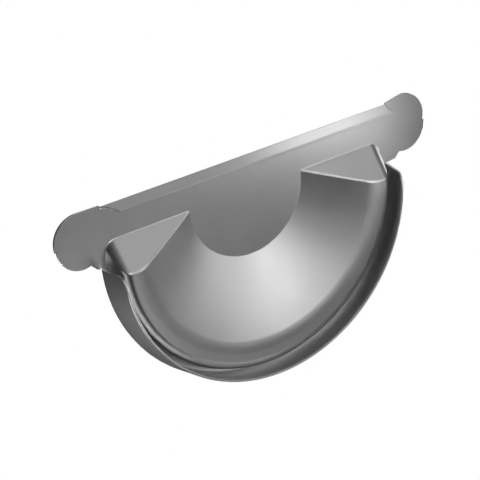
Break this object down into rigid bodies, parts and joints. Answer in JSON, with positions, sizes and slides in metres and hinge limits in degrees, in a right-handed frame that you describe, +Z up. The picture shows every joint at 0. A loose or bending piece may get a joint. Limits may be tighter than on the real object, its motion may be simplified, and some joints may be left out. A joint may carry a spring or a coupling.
{
  "type": "gutter end cap",
  "caption": "Half-round gutter end cap pressed from one sheet: flat plate with rounded ears, folded top edge, dished centre with sloped gussets, and a half-round rim round the gutter's end.",
  "frame": {"origin": "centre of the gutter's half circle, in the front face of the flat plate", "axes": "+X along the folded top edge, +Z up, -Y out of the rim's mouth, along the gutter that the cap closes"},
  "size_m": [0.1697, 0.0148, 0.0911],
  "materials": {
    "zinc_steel": "satin zinc-coated sheet"
  },
  "bodies": {
    "root": {"end_cap": "zinc_steel"}
  },
  "joints": []
}
